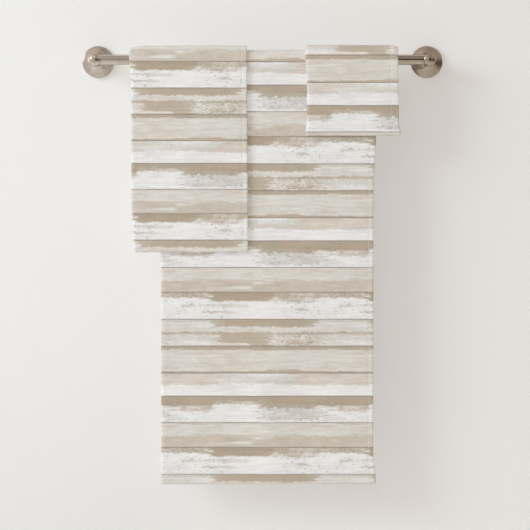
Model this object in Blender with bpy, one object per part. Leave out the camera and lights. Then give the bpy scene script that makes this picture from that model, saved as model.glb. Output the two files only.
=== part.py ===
"""Three towels on a wall-mounted towel rail.

Frame: metres, +X to the right, +Z up. The wall is the plane Y = 0 and everything that hangs is at
negative Y. The origin is on the wall, midway between the posts and level with the bar's axis.

The rail is a tube held by two posts. Each post is a rose, a neck and a head in one casting, which a
grub screw holds to a disc that is screwed to the wall. The towels are folded in half lengthwise, with
the fold at the left, and hang over the bar. The hand towel and the washcloth lie over the bath towel.
"""

import math

import bmesh
import bpy
from mathutils import Matrix, Vector

GAP = 0.0003  # clearance between pieces that touch
CUT_LENGTH = 0.0200  # of the cutters that make holes, past the walls that they cut

# Rail
POST_SPAN = 0.592  # between the post centres
BAR_DEPTH = 0.072  # from the wall to the bar's axis
BAR_RADIUS = 0.009
BAR_WALL = 0.0012
BAR_INSERTION = 0.0060  # how far the bar runs into a head
ROSE_RADIUS = 0.0285
ROSE_RIM = 0.0065  # height of the rose's straight edge
NECK_RADIUS = 0.0088
NECK_END = 0.0545  # distance from the wall where the neck begins to widen into the head
HEAD_RADIUS = 0.0115
HEAD_START = 0.0620  # distance from the wall where the head is at full radius
HEAD_END = 0.0790  # distance from the wall where its dome begins
HEAD_DOME = 0.0060

# Points of a post's outline: (distance from the wall, radius)
ROSE_HOLLOW = ((0.0110, 0.0), (0.0096, 0.0160), (0.0080, 0.0235), (0.0060, 0.0252))
ROSE_EDGE = ((0.0, 0.0255), (0.0, 0.0279), (0.0008, ROSE_RADIUS), (ROSE_RIM, ROSE_RADIUS), (0.0078, 0.0280))
HEAD_SHOULDER = ((0.0585, 0.0097), (0.0605, 0.0110), (HEAD_START, HEAD_RADIUS))
SLOPE_START = (0.0085, 0.0268)  # where the rose's edge gives way to its slope
SLOPE_RISE = 0.0100  # from there to where the slope meets the neck
SLOPE_EVEN_SHARE = 0.55  # the part of the rise that is even; the rest comes near the neck
SLOPE_STEPS = 9
DOME_STEPS = 7

# Wall fixing, inside each rose
DISC_RADIUS = 0.0215
DISC_THICKNESS = 0.0040
SCREW_OFFSET = 0.0115  # from the disc's centre to each wall screw
SCREW_RADIUS = 0.0019
SCREW_HEAD_RADIUS = 0.0038
SCREW_HEAD_HEIGHT = 0.0024
SCREW_SLOT_WIDTH = 0.0009
SCREW_SLOT_DEPTH = 0.0010
SCREW_REACH = 0.0300  # how far a screw runs into the wall, without its point
SCREW_POINT = 0.0040
ANCHOR_LENGTH = 0.0280
ANCHOR_RADIUS = 0.0036
ANCHOR_COLLAR_RADIUS = 0.0048
ANCHOR_COLLAR = 0.0012  # the collar's thickness
ANCHOR_RIB = 0.0004  # how far a rib stands out
ANCHOR_RIBS = 5
ANCHOR_TIP = 0.0028  # the plain end past the last rib
SET_SCREW_RADIUS = 0.0015
SET_SCREW_DEPTH = 0.0035  # distance from the wall to the set screw's axis
SET_SCREW_RECESS = 0.0004  # how far it lies inside the rose's edge
SET_SCREW_KEY = 0.0009  # radius of its hexagonal socket
SET_SCREW_KEY_DEPTH = 0.0020

# Towels
LIFTING = ("hand_towel", "washcloth")  # towels whose front lifts off the bar
LABEL_SIZE = (0.026, 0.0008, 0.042)
LABEL_INSET = 0.045  # from a towel's open edge to the middle of its label

ROUND_STEPS = 48
SMALL_ROUND_STEPS = 16  # for screws, plugs and their holes
DISC_STEPS = 32
ARC_STEP = 7.5  # degrees between the points of a bend over the bar

# left edge, folded width, cut length, drop in front, one layer's thickness, side hem, end hem
TOWELS = {
    "bath_towel": (-0.1800, 0.3810, 1.524, 0.753, 0.0042, 0.009, 0.018),
    "hand_towel": (-0.2318, 0.2045, 0.711, 0.341, 0.0038, 0.009, 0.018),
    "washcloth": (0.0785, 0.1635, 0.330, 0.135, 0.0042, 0.014, 0.012),
}

# colour, roughness, metallic
FINISHES = {
    "nickel": ((0.60, 0.55, 0.48, 1.0), 0.34, 1.0),
    "zinc": ((0.55, 0.56, 0.57, 1.0), 0.50, 1.0),
    "screw": ((0.70, 0.69, 0.65, 1.0), 0.35, 1.0),
    "plastic": ((0.78, 0.77, 0.74, 1.0), 0.55, 0.0),
    "printed_terry": ((0.66, 0.60, 0.53, 1.0), 0.90, 0.0),
    "hem": ((0.80, 0.77, 0.72, 1.0), 0.88, 0.0),
    "label": ((0.90, 0.90, 0.88, 1.0), 0.70, 0.0),
}


def clear_scene():
    for item in list(bpy.data.objects):
        bpy.data.objects.remove(item, do_unlink=True)


def make_material(name, finish):
    colour, roughness, metallic = FINISHES[finish]
    material = bpy.data.materials.new(name)
    material.use_nodes = True
    shader = material.node_tree.nodes["Principled BSDF"]
    shader.inputs["Base Color"].default_value = colour
    shader.inputs["Roughness"].default_value = roughness
    shader.inputs["Metallic"].default_value = metallic
    return material


def new_object(name, work, finish):
    """Turn a bmesh into an object with a material of its own."""
    mesh = bpy.data.meshes.new(name)
    work.to_mesh(mesh)
    work.free()
    piece = bpy.data.objects.new(name, mesh)
    bpy.context.scene.collection.objects.link(piece)
    if finish:
        mesh.materials.append(make_material(name, finish))
        mesh.shade_smooth()
        mesh.set_sharp_from_angle(angle=math.radians(35))
    return piece


def cutter(piece):
    piece.hide_render = True
    piece.display_type = "WIRE"
    return piece


def cut(piece, tool):
    boolean = piece.modifiers.new("cut_" + tool.name, "BOOLEAN")
    boolean.operation = "DIFFERENCE"
    boolean.solver = "EXACT"
    boolean.object = cutter(tool)


def turned(name, profile, finish, steps=ROUND_STEPS):
    """Turn a profile of (distance along the axis, radius) points about the local Z axis.

    The profile is a closed loop, except where its first and last points are on the axis.
    """
    work = bmesh.new()
    points = [work.verts.new((radius, 0, along)) for along, radius in profile]
    edges = [work.edges.new(pair) for pair in zip(points, points[1:])]
    closed_on_axis = profile[0][1] == 0 and profile[-1][1] == 0
    if not closed_on_axis:
        edges.append(work.edges.new((points[-1], points[0])))
    bmesh.ops.spin(
        work,
        geom=points + edges,
        cent=(0, 0, 0),
        axis=(0, 0, 1),
        angle=2 * math.pi,
        steps=steps,
        use_merge=True,
    )
    bmesh.ops.remove_doubles(work, verts=work.verts, dist=1e-6)
    bmesh.ops.dissolve_degenerate(work, edges=work.edges, dist=1e-7)
    bmesh.ops.recalc_face_normals(work, faces=work.faces)
    return new_object(name, work, finish)


def towards_wall_axis(piece, x, z=0.0):
    """Stand a turned piece on the wall: its local +Z points out of the wall, along -Y."""
    piece.matrix_world = Matrix.Translation((x, 0, z)) @ Matrix.Rotation(math.pi / 2, 4, "X")


def extruded(name, outline, x_low, x_high, finish):
    """A closed (y, z) outline, extruded from x_low to x_high."""
    work = bmesh.new()
    start = [work.verts.new((x_low, y, z)) for y, z in outline]
    end = [work.verts.new((x_high, y, z)) for y, z in outline]
    work.faces.new(start)
    work.faces.new(end)
    count = len(outline)
    for i in range(count):
        j = (i + 1) % count
        work.faces.new((start[i], start[j], end[j], end[i]))
    bmesh.ops.recalc_face_normals(work, faces=work.faces)
    return new_object(name, work, finish)


# ---------------------------------------------------------------- rail


def post_profile():
    """From the middle of the hollow in the rose's back, round its edge, to the tip of the head."""
    start, foot = SLOPE_START
    slope = []
    for i in range(SLOPE_STEPS + 1):
        share = i / SLOPE_STEPS
        rise = SLOPE_EVEN_SHARE * share + (1 - SLOPE_EVEN_SHARE) * share**4
        slope.append((start + SLOPE_RISE * rise, foot + (NECK_RADIUS - foot) * share))
    dome = []
    for i in range(DOME_STEPS):
        angle = math.pi / 2 * i / DOME_STEPS
        dome.append((HEAD_END + HEAD_DOME * math.sin(angle), HEAD_RADIUS * math.cos(angle)))
    tip = (HEAD_END + HEAD_DOME, 0.0)
    return [*ROSE_HOLLOW, *ROSE_EDGE, *slope, (NECK_END, NECK_RADIUS), *HEAD_SHOULDER, *dome, tip]


def make_post(side, x):
    """One casting, with a blind socket for the bar and a hole for the set screw."""
    post = turned(side + "_post", post_profile(), "nickel")
    towards_wall_axis(post, x)

    inward = -math.copysign(1, x)
    socket_bottom = abs(x) - HEAD_RADIUS + BAR_INSERTION + GAP
    socket = turned_cylinder(side + "_socket_cut", BAR_RADIUS + GAP, CUT_LENGTH)
    socket.matrix_world = Matrix.Translation(
        (math.copysign(socket_bottom, x) + inward * CUT_LENGTH / 2, -BAR_DEPTH, 0)
    ) @ Matrix.Rotation(math.pi / 2, 4, "Y")
    cut(post, socket)

    hole_radius = SET_SCREW_RADIUS + GAP
    screw_hole = turned_cylinder(side + "_set_screw_cut", hole_radius, CUT_LENGTH / 2, SMALL_ROUND_STEPS)
    screw_hole.matrix_world = Matrix.Translation((x, -SET_SCREW_DEPTH, -ROSE_RADIUS))
    cut(post, screw_hole)
    return post


def turned_cylinder(name, radius, length, steps=ROUND_STEPS):
    """A plain cutter cylinder, centred, along its local Z axis."""
    half = length / 2
    profile = [(-half, 0.0), (-half, radius), (half, radius), (half, 0.0)]
    return turned(name, profile, None, steps)


def make_bar():
    half = POST_SPAN / 2 - HEAD_RADIUS + BAR_INSERTION
    inner = BAR_RADIUS - BAR_WALL
    profile = [(-half, inner), (-half, BAR_RADIUS), (half, BAR_RADIUS), (half, inner)]
    bar = turned("bar_tube", profile, "nickel")
    bar.matrix_world = Matrix.Translation((0, -BAR_DEPTH, 0)) @ Matrix.Rotation(math.pi / 2, 4, "Y")


def make_bracket(side, x):
    """The disc inside a rose, with two screw holes."""
    edge = 0.15 * DISC_THICKNESS
    profile = [
        (0.0, 0.0),
        (0.0, DISC_RADIUS - edge),
        (edge, DISC_RADIUS),
        (DISC_THICKNESS - edge, DISC_RADIUS),
        (DISC_THICKNESS, DISC_RADIUS - edge),
        (DISC_THICKNESS, 0.0),
    ]
    disc = turned(side + "_bracket", profile, "zinc", DISC_STEPS)
    towards_wall_axis(disc, x)
    hole_radius = SCREW_RADIUS + GAP
    for level, sign in (("upper", 1), ("lower", -1)):
        hole = turned_cylinder(side + "_bracket_hole_" + level, hole_radius, CUT_LENGTH, SMALL_ROUND_STEPS)
        towards_wall_axis(hole, x, sign * SCREW_OFFSET)
        cut(disc, hole)


def make_wall_screw(name, x, z):
    """A round-headed wall screw, with a slot in its head."""
    head_base = DISC_THICKNESS + GAP
    profile = [
        (-SCREW_REACH - SCREW_POINT, 0.0),
        (-SCREW_REACH, SCREW_RADIUS),
        (head_base, SCREW_RADIUS),
        (head_base, SCREW_HEAD_RADIUS),
        (head_base + 0.5 * SCREW_HEAD_HEIGHT, 0.95 * SCREW_HEAD_RADIUS),
        (head_base + 0.85 * SCREW_HEAD_HEIGHT, 0.65 * SCREW_HEAD_RADIUS),
        (head_base + SCREW_HEAD_HEIGHT, 0.0),
    ]
    screw = turned(name, profile, "screw", SMALL_ROUND_STEPS)
    towards_wall_axis(screw, x, z)
    slot = box_cutter(name + "_slot", (4 * SCREW_HEAD_RADIUS, 4 * SCREW_SLOT_DEPTH, SCREW_SLOT_WIDTH))
    slot.location = (x, -head_base - SCREW_HEAD_HEIGHT - SCREW_SLOT_DEPTH, z)
    cut(screw, slot)


def box_cutter(name, size):
    work = bmesh.new()
    bmesh.ops.create_cube(work, size=1.0)
    bmesh.ops.scale(work, vec=Vector(size), verts=work.verts)
    return new_object(name, work, None)


def make_wall_anchor(name, x, z):
    """A ribbed plug in the wall, open from end to end, around a wall screw."""
    bore = SCREW_RADIUS + GAP
    ribs_start = -GAP - ANCHOR_COLLAR
    rib_pitch = (ANCHOR_LENGTH - ANCHOR_COLLAR - ANCHOR_TIP) / ANCHOR_RIBS
    profile = [(-GAP, bore), (-GAP, ANCHOR_COLLAR_RADIUS), (ribs_start, ANCHOR_COLLAR_RADIUS)]
    for i in range(ANCHOR_RIBS):
        start = ribs_start - i * rib_pitch
        profile.append((start - ANCHOR_RIB / 2, ANCHOR_RADIUS))
        profile.append((start - 0.6 * rib_pitch, ANCHOR_RADIUS - ANCHOR_RIB))
    profile.append((-ANCHOR_LENGTH, ANCHOR_RADIUS - 2 * ANCHOR_RIB))
    profile.append((-ANCHOR_LENGTH, bore))
    anchor = turned(name, profile, "plastic", SMALL_ROUND_STEPS)
    towards_wall_axis(anchor, x, z)


def make_set_screw(side, x):
    """A grub screw that points up through the rose's underside, with a hexagonal socket."""
    low = -ROSE_RADIUS + SET_SCREW_RECESS
    high = -DISC_RADIUS - GAP
    edge = SET_SCREW_RADIUS / 5
    profile = [
        (low, 0.0),
        (low, SET_SCREW_RADIUS - edge),
        (low + edge, SET_SCREW_RADIUS),
        (high - edge, SET_SCREW_RADIUS),
        (high, SET_SCREW_RADIUS - edge),
        (high, 0.0),
    ]
    screw = turned(side + "_set_screw", profile, "screw", SMALL_ROUND_STEPS)
    screw.location = (x, -SET_SCREW_DEPTH, 0)
    key = turned_cylinder(side + "_key_cut", SET_SCREW_KEY, 2 * SET_SCREW_KEY_DEPTH, 6)
    key.location = (x, -SET_SCREW_DEPTH, low)
    cut(screw, key)


def make_rail():
    make_bar()
    for side, x in (("left", -POST_SPAN / 2), ("right", POST_SPAN / 2)):
        make_post(side, x)
        make_bracket(side, x)
        make_set_screw(side, x)
        for level, sign in (("upper", 1), ("lower", -1)):
            z = sign * SCREW_OFFSET
            make_wall_screw(f"{side}_bracket_screw_{level}", x, z)
            make_wall_anchor(f"{side}_wall_anchor_{level}", x, z)


# ---------------------------------------------------------------- towels


def around_bar(radius, degrees):
    """A (y, z) point about the bar. 0 degrees is behind the bar, 180 in front of it."""
    angle = math.radians(degrees)
    return (-BAR_DEPTH + radius * math.cos(angle), radius * math.sin(angle))


def bend(radius, start, end):
    """Points on an arc about the bar, from start to end degrees."""
    steps = max(1, math.ceil(abs(end - start) / ARC_STEP))
    return [around_bar(radius, start + (end - start) * i / steps) for i in range(steps + 1)]


def slab(side, inner, outer, top, bottom):
    """The (y, z) outline of a flat hanging layer. side is -1 in front of the bar, 1 behind it."""
    near = -BAR_DEPTH + side * inner
    far = -BAR_DEPTH + side * outer
    return [(near, top), (far, top), (far, bottom), (near, bottom)]


def make_panels(name, left, right, drops, radii, hems):
    """The flat parts that hang in front and behind: a panel, its side hem and its end hem."""
    inner, outer = radii
    side_hem, end_hem = hems
    for part, side, drop in (("front", -1, drops[0]), ("back", 1, drops[1])):
        top = -GAP
        hem_top = -drop + end_hem
        seam = right - side_hem
        panel = slab(side, inner, outer, top, hem_top + GAP)
        hem = slab(side, inner, outer, hem_top, -drop)
        extruded(f"{name}_{part}_panel", panel, left, seam - GAP, "printed_terry")
        extruded(f"{name}_{part}_side_hem", panel, seam, right, "hem")
        extruded(f"{name}_{part}_end_hem", hem, left, right, "hem")


def make_bends(name, left, right, inner, outer):
    """The bend over the bar. An upper towel's is parted at the top, where its front lifts.

    The front then turns about the line where the parted faces meet at the outside, so the joint
    opens underneath and nothing meets as it turns.
    """
    if name in LIFTING:
        back = bend(inner, 0, 90) + bend(outer, 90, 0)
        front = bend(inner, 90, 180) + bend(outer, 180, 90)
        parting = -BAR_DEPTH - GAP
        front = [(min(y, parting), z) for y, z in front]
        extruded(name + "_saddle", back, left, right, "printed_terry")
        extruded(name + "_front_top", front, left, right, "printed_terry")
    else:
        whole = bend(inner, 0, 180) + bend(outer, 180, 0)
        extruded(name + "_saddle", whole, left, right, "printed_terry")


def make_label(name, right, outer, drop):
    """A blank label sewn to the towel's back, near its open edge."""
    width, thickness, height = LABEL_SIZE
    near = -BAR_DEPTH + outer + GAP
    middle_z = -0.5 * drop
    outline = [
        (near, middle_z - height / 2),
        (near + thickness, middle_z - height / 2),
        (near + thickness, middle_z + height / 2),
        (near, middle_z + height / 2),
    ]
    centre = right - LABEL_INSET
    extruded(name + "_care_label", outline, centre - width / 2, centre + width / 2, "label")


def make_towel(name, inner):
    """Hang a folded towel round the bar, with its inner face at a given distance from the axis."""
    left, width, length, front_drop, layer, side_hem, end_hem = TOWELS[name]
    right = left + width
    outer = inner + 2 * layer
    over_bar = math.pi * (inner + layer)
    back_drop = length - front_drop - over_bar
    make_bends(name, left, right, inner, outer)
    make_panels(name, left, right, (front_drop, back_drop), (inner, outer), (side_hem, end_hem))
    make_label(name, right, outer, back_drop)
    return outer


clear_scene()
make_rail()
bath_towel_outside = make_towel("bath_towel", BAR_RADIUS + GAP)
for upper_towel in LIFTING:
    make_towel(upper_towel, bath_towel_outside + GAP)
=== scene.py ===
import math

import bpy
import numpy as np
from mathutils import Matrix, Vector


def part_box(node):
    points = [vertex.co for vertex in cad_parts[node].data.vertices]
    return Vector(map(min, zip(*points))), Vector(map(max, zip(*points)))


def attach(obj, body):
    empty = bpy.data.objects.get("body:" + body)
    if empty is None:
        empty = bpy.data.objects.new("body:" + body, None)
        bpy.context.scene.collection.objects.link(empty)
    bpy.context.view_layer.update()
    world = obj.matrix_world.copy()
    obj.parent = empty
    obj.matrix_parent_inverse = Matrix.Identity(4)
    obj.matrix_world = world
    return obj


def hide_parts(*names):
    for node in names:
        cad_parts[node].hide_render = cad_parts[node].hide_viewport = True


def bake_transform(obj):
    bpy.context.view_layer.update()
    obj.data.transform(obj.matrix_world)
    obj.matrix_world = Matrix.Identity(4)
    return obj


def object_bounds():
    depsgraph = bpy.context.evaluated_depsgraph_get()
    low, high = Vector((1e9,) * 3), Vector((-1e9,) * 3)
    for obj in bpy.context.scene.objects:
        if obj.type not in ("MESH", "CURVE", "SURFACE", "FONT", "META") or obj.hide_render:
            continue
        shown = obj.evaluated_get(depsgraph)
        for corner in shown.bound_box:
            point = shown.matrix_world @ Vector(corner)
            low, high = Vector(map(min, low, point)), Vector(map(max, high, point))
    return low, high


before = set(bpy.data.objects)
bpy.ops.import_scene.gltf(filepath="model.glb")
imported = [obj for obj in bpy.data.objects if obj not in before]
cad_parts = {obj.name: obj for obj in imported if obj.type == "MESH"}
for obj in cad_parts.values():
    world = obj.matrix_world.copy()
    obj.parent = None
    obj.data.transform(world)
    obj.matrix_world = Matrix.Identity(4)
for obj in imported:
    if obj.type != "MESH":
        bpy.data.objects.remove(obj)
CAD_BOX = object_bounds()

# ---------------------------------------------------------------- measures from the frame

BAR_LOW, BAR_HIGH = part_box("bar_tube")
BAR_Y = (BAR_LOW.y + BAR_HIGH.y) / 2
BAR_Z = (BAR_LOW.z + BAR_HIGH.z) / 2
BAR_RADIUS = (BAR_HIGH.z - BAR_LOW.z) / 2
HALF_TURN = math.pi

FRONT_NODES = ("front_panel", "front_side_hem", "front_end_hem")
BACK_NODES = ("back_panel", "back_side_hem", "back_end_hem")


def measure_towel(name):
    """Where a towel's solids lie: its edges, its two drops and its two radii about the bar."""
    panel_low, panel_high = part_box(name + "_front_panel")
    hem_low, hem_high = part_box(name + "_front_side_hem")
    front_low, front_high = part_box(name + "_front_end_hem")
    back_low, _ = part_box(name + "_back_end_hem")
    return {
        "left": panel_low.x,
        "right": hem_high.x,
        "front_drop": BAR_Z - front_low.z,
        "back_drop": BAR_Z - back_low.z,
        "inner": BAR_Y - panel_high.y,
        "outer": BAR_Y - panel_low.y,
        "side_hem": hem_high.x - hem_low.x,
        "end_hem": front_high.z - front_low.z,
    }


# ---------------------------------------------------------------- small helpers


def smooth(value, low, high):
    """0 below low, 1 above high and a soft step between them."""
    share = np.clip((np.asarray(value, float) - low) / (high - low), 0.0, 1.0)
    return share * share * (3.0 - 2.0 * share)


def linear(red, green, blue):
    """A display colour, 0 to 255, as the linear colour that shaders use."""
    shares = [channel / 255.0 for channel in (red, green, blue)]
    curve = [s / 12.92 if s <= 0.04045 else ((s + 0.055) / 1.055) ** 2.4 for s in shares]
    return (*curve, 1.0)


class Graph:
    """Short calls for building the nodes of one tree."""

    def __init__(self, tree):
        self.tree = tree
        tree.nodes.clear()

    def node(self, kind, **settings):
        made = self.tree.nodes.new(kind)
        for name, value in settings.items():
            setattr(made, name, value)
        return made

    def put(self, socket, value):
        """Links an output to the socket, or sets the socket's own value."""
        if isinstance(value, bpy.types.NodeSocket):
            self.tree.links.new(value, socket)
        elif value is not None:
            socket.default_value = value

    def math(self, operation, *values):
        made = self.node("ShaderNodeMath", operation=operation)
        for socket, value in zip(made.inputs, values):
            self.put(socket, value)
        return made.outputs[0]

    def remap(self, value, low, high, to_low=0.0, to_high=1.0, soft=True):
        kind = "SMOOTHSTEP" if soft else "LINEAR"
        made = self.node("ShaderNodeMapRange", interpolation_type=kind)
        for name, given in (
            ("Value", value),
            ("From Min", low),
            ("From Max", high),
            ("To Min", to_low),
            ("To Max", to_high),
        ):
            self.put(made.inputs[name], given)
        return made.outputs["Result"]

    def mix(self, factor, first, second, blend="MIX"):
        made = self.node("ShaderNodeMix", data_type="RGBA", blend_type=blend)
        self.put(made.inputs[0], factor)
        self.put(made.inputs[6], first)
        self.put(made.inputs[7], second)
        return made.outputs[2]

    def noise(self, vector, scale, detail=2.0, roughness=0.5):
        made = self.node("ShaderNodeTexNoise")
        self.put(made.inputs["Vector"], vector)
        self.put(made.inputs["Scale"], scale)
        self.put(made.inputs["Detail"], detail)
        self.put(made.inputs["Roughness"], roughness)
        return made.outputs["Fac"]

    def stretch(self, vector, factors):
        """The vector with its three parts multiplied."""
        made = self.node("ShaderNodeVectorMath", operation="MULTIPLY")
        self.put(made.inputs[0], vector)
        self.put(made.inputs[1], factors)
        return made.outputs[0]

    def bump(self, height, distance, strength=1.0, normal=None):
        made = self.node("ShaderNodeBump")
        self.put(made.inputs["Height"], height)
        self.put(made.inputs["Distance"], distance)
        self.put(made.inputs["Strength"], strength)
        self.put(made.inputs["Normal"], normal)
        return made.outputs["Normal"]

    def surface(self, **sockets):
        """The Principled shader and the material's output."""
        shader = self.node("ShaderNodeBsdfPrincipled")
        for name, value in sockets.items():
            self.put(shader.inputs[name.replace("_", " ")], value)
        output = self.node("ShaderNodeOutputMaterial")
        self.put(output.inputs["Surface"], shader.outputs[0])
        return shader


def new_material(name):
    made = bpy.data.materials.new(name)
    made.use_nodes = True
    return made, Graph(made.node_tree)


def new_mesh(name, vertices, faces, materials, smooth_shading=True):
    mesh = bpy.data.meshes.new(name)
    mesh.from_pydata([tuple(v) for v in vertices], [], [tuple(f) for f in faces])
    for material in materials:
        mesh.materials.append(material)
    mesh.polygons.foreach_set("use_smooth", [smooth_shading] * len(mesh.polygons))
    mesh.update()
    made = bpy.data.objects.new(name, mesh)
    bpy.context.scene.collection.objects.link(made)
    return made


# ---------------------------------------------------------------- the print

TILE_WIDTH = 0.2826
PLANK_HEIGHTS = {"A": 0.0470, "B": 0.0440, "C": 0.0480, "D": 0.0475, "E": 0.0480, "F": 0.0409}
TILE_HEIGHT = sum(PLANK_HEIGHTS.values())
PLANK_TOPS = {}
for plank in PLANK_HEIGHTS:
    PLANK_TOPS[plank] = sum(list(PLANK_HEIGHTS.values())[: len(PLANK_TOPS)])

INK = {
    "white": linear(243, 243, 245),
    "white_soft": linear(236, 235, 234),
    "cool": linear(226, 226, 221),
    "pale": linear(222, 216, 208),
    "cream": linear(234, 229, 221),
    "beige": linear(205, 194, 181),
    "beige_light": linear(214, 206, 196),
    "blush": linear(216, 203, 193),
    "taupe": linear(197, 187, 173),
    "brown": linear(183, 171, 154),
    "brown_light": linear(194, 183, 167),
    "line": linear(150, 139, 127),
    "grey": linear(199, 195, 189),
    "mark": linear(164, 160, 155),
}

ALL_ALONG = (-1.0, 2.0)
SPARSE = 1.0

# Each stroke: plank, where it starts and ends along the tile, where it starts and ends down the
# plank (shares of each), ink, strength, raggedness and how much of it is worn through. A stroke
# that is SPARSE leaves only scattered marks. No stroke leaves its plank.
STROKES = (
    ("A", ALL_ALONG, (0.00, 1.00), "white", 1.00, 0.0, 0.00),
    ("A", (0.64, 1.00), (0.42, 0.90), "grey", 0.80, 1.0, 0.60),
    ("A", (0.58, 1.04), (0.46, 0.94), "mark", 0.85, 0.6, SPARSE),
    ("A", (0.02, 0.30), (0.62, 0.96), "mark", 0.60, 0.6, SPARSE),
    ("A", (0.00, 0.12), (0.66, 0.94), "grey", 0.40, 1.0, 0.60),
    ("A", ALL_ALONG, (-0.10, 0.31), "brown", 1.00, 0.8, 0.05),
    ("A", (0.61, 1.33), (0.22, 0.45), "brown", 0.97, 0.9, 0.18),
    ("A", (0.38, 0.62), (0.17, 0.31), "cream", 0.60, 1.2, 0.60),
    ("A", (0.95, 1.12), (0.36, 0.47), "cream", 0.90, 0.6, 0.10),
    ("A", (1.15, 1.28), (0.40, 0.45), "cream", 0.70, 0.4, 0.10),
    ("A", (0.05, 0.32), (0.47, 0.57), "taupe", 0.85, 0.7, 0.20),
    ("B", ALL_ALONG, (0.00, 1.00), "pale", 1.00, 0.0, 0.00),
    ("B", (0.02, 0.32), (0.08, 0.50), "beige_light", 0.35, 1.2, 0.30),
    ("B", (0.33, 0.64), (0.12, 0.50), "cool", 0.90, 1.4, 0.20),
    ("B", (0.68, 1.20), (0.24, 0.52), "cool", 0.70, 1.4, 0.20),
    ("B", (0.08, 0.55), (0.02, 0.09), "beige", 0.60, 0.4, 0.20),
    ("B", ALL_ALONG, (0.52, 1.05), "beige", 0.95, 1.0, 0.12),
    ("B", (0.56, 0.69), (0.60, 0.67), "cream", 0.80, 0.4, 0.05),
    ("B", (0.42, 0.56), (0.76, 0.88), "cool", 0.80, 0.5, 0.20),
    ("B", (0.29, 0.46), (0.80, 0.94), "pale", 0.60, 0.6, 0.40),
    ("C", ALL_ALONG, (0.00, 1.00), "white", 1.00, 0.0, 0.00),
    ("C", (0.98, 1.33), (-0.06, 0.20), "brown", 0.90, 0.9, 0.30),
    ("C", (0.30, 0.70), (-0.06, 0.33), "brown", 1.00, 0.5, 0.00),
    ("C", (0.64, 1.02), (-0.06, 0.20), "brown", 0.95, 0.8, 0.35),
    ("C", (0.66, 0.99), (0.12, 0.35), "brown_light", 0.90, 0.9, 0.85),
    ("C", (0.12, 0.56), (0.44, 0.54), "taupe", 0.50, 0.7, 0.45),
    ("C", (0.25, 0.44), (0.68, 0.77), "grey", 0.70, 0.5, 0.40),
    ("C", (0.08, 0.42), (0.34, 0.95), "mark", 0.80, 0.6, SPARSE),
    ("C", (0.76, 1.06), (0.36, 0.95), "mark", 0.75, 0.6, SPARSE),
    ("C", (0.84, 0.91), (0.58, 0.68), "grey", 0.50, 0.5, 0.40),
    ("D", ALL_ALONG, (0.00, 1.00), "white_soft", 1.00, 0.0, 0.00),
    ("D", (0.33, 1.34), (0.30, 0.48), "pale", 0.85, 0.8, 0.35),
    ("D", (0.32, 0.98), (-0.06, 0.29), "brown_light", 1.00, 0.7, 0.05),
    ("D", (0.40, 0.90), (-0.06, 0.24), "brown", 0.60, 0.5, 0.05),
    ("D", (0.94, 1.34), (-0.06, 0.11), "taupe", 0.75, 0.5, 0.30),
    ("D", (1.00, 1.20), (0.17, 0.25), "taupe", 0.40, 0.5, 0.40),
    ("D", (0.92, 1.38), (0.46, 0.57), "brown_light", 0.95, 0.7, 0.15),
    ("D", (0.34, 0.98), (0.47, 0.58), "brown", 0.85, 0.6, 0.10),
    ("D", (0.35, 0.68), (0.52, 0.97), "brown_light", 1.00, 0.6, 0.10),
    ("D", (0.62, 1.00), (0.52, 0.97), "brown_light", 0.95, 0.8, 0.90),
    ("D", (0.66, 1.00), (0.52, 0.94), "mark", 0.60, 0.6, SPARSE),
    ("D", (0.98, 1.36), (0.58, 0.90), "mark", 0.60, 0.6, SPARSE),
    ("D", (0.98, 1.36), (0.58, 0.82), "grey", 0.75, 0.9, 0.85),
    ("D", (0.31, 0.54), (0.89, 0.97), "cream", 0.95, 0.2, 0.05),
    ("E", ALL_ALONG, (0.00, 1.00), "pale", 1.00, 0.0, 0.00),
    ("E", ALL_ALONG, (-0.08, 0.14), "brown", 0.95, 0.6, 0.20),
    ("E", (0.68, 1.20), (0.20, 0.86), "cool", 0.60, 1.2, 0.20),
    ("E", (0.30, 1.00), (0.32, 0.37), "cream", 0.60, 0.4, 0.30),
    ("E", ALL_ALONG, (0.47, 0.52), "cream", 0.50, 0.4, 0.20),
    ("E", (0.05, 0.60), (0.60, 0.66), "beige_light", 0.50, 0.5, 0.30),
    ("E", ALL_ALONG, (0.84, 0.90), "cream", 0.70, 0.4, 0.10),
    ("E", ALL_ALONG, (0.93, 1.10), "brown", 0.78, 0.4, 0.05),
    ("E", (0.66, 0.88), (0.87, 0.98), "brown_light", 0.90, 0.4, 0.10),
    ("F", ALL_ALONG, (0.00, 1.00), "white", 1.00, 0.0, 0.00),
    ("F", (0.80, 1.37), (-0.06, 0.52), "blush", 0.95, 0.8, 0.10),
    ("F", (0.30, 0.85), (0.08, 0.42), "cool", 0.90, 1.0, 0.35),
    ("F", (0.52, 0.88), (0.26, 0.46), "beige_light", 0.80, 1.0, 0.50),
    ("F", (0.20, 0.80), (0.06, 0.50), "mark", 0.35, 0.6, SPARSE),
)

# Thin washes over the paler inks: ink, clouds round the tile, clouds down it, cover.
HAZES = (("blush", 5.0, 13.0, 0.70), ("cool", 7.0, 24.0, 0.65), ("white_soft", 6.0, 60.0, 0.45))

WARMTH = (1.045, 0.985, 0.965, 1.0)  # the tint of the warmer clouds over the browner inks

LINE_THICKNESS = 0.0013
LINE_WANDER = 0.0012  # in tiles
STROKE_INPUTS = (
    "Along", "Down", "Bristle", "Ragged", "Speckle", "Middle", "Half", "Middle down", "Half down",
    "Raggedness", "Worn", "Strength",
)
STROKE_FEATHER_ALONG = 0.018
STROKE_FEATHER_DOWN = 0.0035
RAGGED_ALONG = 0.160
RAGGED_DOWN = 0.034


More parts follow.
